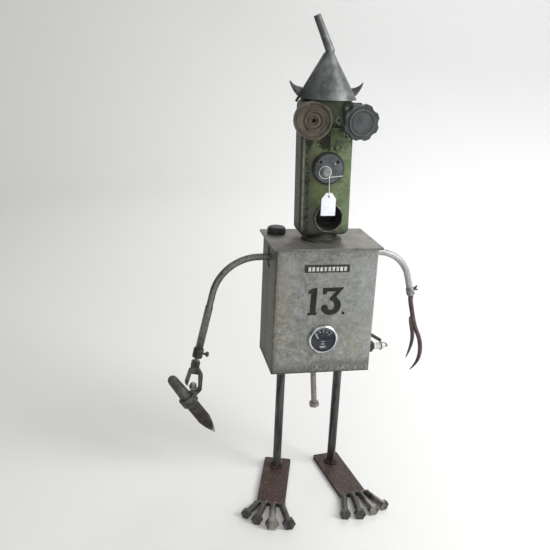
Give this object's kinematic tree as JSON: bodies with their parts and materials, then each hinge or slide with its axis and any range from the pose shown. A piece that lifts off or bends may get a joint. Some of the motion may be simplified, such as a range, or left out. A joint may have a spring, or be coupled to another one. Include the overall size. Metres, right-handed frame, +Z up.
{
  "type": "scrap-metal robot figure",
  "caption": "Standing figure welded and bolted from scrap: steel box torso, oil-can head that turns, funnel hat, bent pipe arms with swivelling bar and claw, plate feet with bolt toes.",
  "frame": {"origin": "on the floor, under the middle of the whole figure's bounding box", "axes": "+Z up, the figure faces -Y, +X is to the figure's left (the viewer's right)"},
  "size_m": [0.5482, 0.282, 0.9466],
  "materials": {
    "box_zinc": "galvanised, weathered",
    "lid_steel": "galvanised, dull",
    "badge_black": "black enamel",
    "badge_chrome": "bright",
    "gauge_case": "black",
    "gauge_chrome": "polished",
    "gauge_glass": "clear",
    "gauge_black": "matt blue-black",
    "needle_white": "white",
    "neck_iron": "dark",
    "filler_black": "black moulding",
    "leg_steel": "dark, mill scale",
    "weld_steel": "welded",
    "oxide_plate": "red-brown oxide",
    "bolt_steel": "aged steel",
    "pipe_zinc": "galvanised pipe",
    "hand_iron": "dark, worn",
    "hand_bright": "bare steel",
    "bar_steel": "forged, dark",
    "claw_paint": "dark plum-brown",
    "plug_iron": "blackened",
    "plug_ceramic": "white glaze",
    "lead_rubber": "black",
    "can_green": "chipped green paint",
    "mouth_lip": "worn lip",
    "eye_rust": "rusted",
    "bracket_steel": "dark",
    "eye_grey": "dark blue-grey",
    "clip_green": "dark green",
    "nose_black": "black",
    "nose_grey": "grey plate",
    "knob_grey": "grey moulding",
    "funnel_zinc": "galvanised sheet",
    "horn_steel": "dark steel",
    "tag_paper": "white card",
    "tag_string": "white cotton"
  },
  "bodies": {
    "frame": {"front_tray": "box_zinc", "rear_tray": "box_zinc", "top_plate": "lid_steel", "badge_plate": "badge_black", "badge_bars": "badge_chrome", "gauge_case": "gauge_case", "gauge_bezel": "gauge_chrome", "gauge_glass": "gauge_glass", "gauge_dial": "gauge_black", "neck_flange": "neck_iron", "filler_neck": "filler_black", "left_leg": "leg_steel", "right_leg": "leg_steel", "left_foot_plate": "oxide_plate", "right_foot_plate": "oxide_plate", "left_toe_bolts": "bolt_steel", "right_toe_bolts": "bolt_steel", "toe_welds": "weld_steel", "tail_bolt": "bolt_steel", "frame_welds": "weld_steel", "left_arm_pipe": "pipe_zinc", "right_arm_pipe": "pipe_zinc", "arm_anchors": "leg_steel", "wrist_collar": "hand_iron", "claw_ferrule": "pipe_zinc", "plug_body": "plug_iron", "plug_insulator": "plug_ceramic", "plug_terminal": "hand_bright", "plug_lead": "lead_rubber", "lead_clip": "hand_bright"},
    "head": {"neck_ring": "neck_iron", "head_can": "can_green", "mouth_ring": "mouth_lip", "left_eye": "eye_rust", "eye_bracket": "bracket_steel", "eye_bush": "bracket_steel", "eyelet": "mouth_lip", "clip_plate": "clip_green", "nose_base": "nose_black", "nose_plate": "nose_grey", "head_screws": "hand_bright", "funnel_cone": "funnel_zinc", "funnel_spout": "funnel_zinc", "hat_seat": "leg_steel", "horns": "horn_steel"},
    "needle": {"gauge_needle": "needle_white"},
    "filler_cap": {"filler_cap": "filler_black"},
    "left_hand": {"hand_rod": "hand_bright", "hand_nut": "hand_iron", "hand_yoke": "hand_iron", "bar_band": "hand_iron", "pointed_bar": "bar_steel"},
    "wrist_screw": {"wrist_screw": "hand_iron"},
    "yoke_screw": {"yoke_screw": "hand_bright"},
    "right_claw": {"claw": "claw_paint"},
    "wing_bolt": {"wing_bolt": "hand_iron"},
    "right_eye": {"right_eye_knob": "eye_grey"},
    "nose_knob": {"nose_knob": "knob_grey"},
    "tag": {"price_tag": "tag_paper", "tag_string": "tag_string"}
  },
  "joints": [
    {"name": "head_turn", "type": "hinge", "parent": "frame", "child": "head", "pos_m": [0.03115, 0.06405, 0.527], "axis": [0, 0, 1], "range_deg": [-60, 60]},
    {"name": "right_eye_turn", "type": "hinge", "parent": "head", "child": "right_eye", "pos_m": [0.07715, 0.03805, 0.761], "axis": [0, 1, 0], "continuous": true},
    {"name": "nose_switch", "type": "hinge", "parent": "head", "child": "nose_knob", "pos_m": [0.01715, 0.03205, 0.669], "axis": [0, 1, 0], "range_deg": [-60, 60]},
    {"name": "tag_swing", "type": "hinge", "parent": "head", "child": "tag", "pos_m": [0.01715, 0.03205, 0.669], "axis": [0, 1, 0], "range_deg": [-70, 70]},
    {"name": "needle_sweep", "type": "hinge", "parent": "frame", "child": "needle", "pos_m": [0.02815, -0.00675, 0.3265], "axis": [0, 1, 0], "range_deg": [0, 67.4], "stiffness_Nm_per_rad": 0.0005},
    {"name": "filler_cap_turn", "type": "hinge", "parent": "frame", "child": "filler_cap", "pos_m": [-0.05185, 0.10805, 0.527], "axis": [0, 0, 1], "range_deg": [0, 90]},
    {"name": "left_hand_swivel", "type": "hinge", "parent": "frame", "child": "left_hand", "pos_m": [-0.21173, 0.06505, 0.29115], "axis": [-0.213, 0, -0.977], "range_deg": [-90, 90]},
    {"name": "wrist_screw_turn", "type": "hinge", "parent": "frame", "child": "wrist_screw", "pos_m": [-0.21245, 0.06505, 0.28783], "axis": [0.977, 0, -0.213], "continuous": true},
    {"name": "yoke_screw_turn", "type": "hinge", "parent": "left_hand", "child": "yoke_screw", "pos_m": [-0.22163, 0.06505, 0.21757], "axis": [-0.213, 0, -0.977], "continuous": true},
    {"name": "claw_swivel", "type": "hinge", "parent": "frame", "child": "right_claw", "pos_m": [0.23433, 0.06505, 0.40198], "axis": [0.2689, 0, -0.9632], "range_deg": [-90, 90]},
    {"name": "wing_bolt_turn", "type": "hinge", "parent": "frame", "child": "wing_bolt", "pos_m": [0.23137, 0.06505, 0.41258], "axis": [0.9632, 0, 0.2689], "continuous": true}
  ]
}
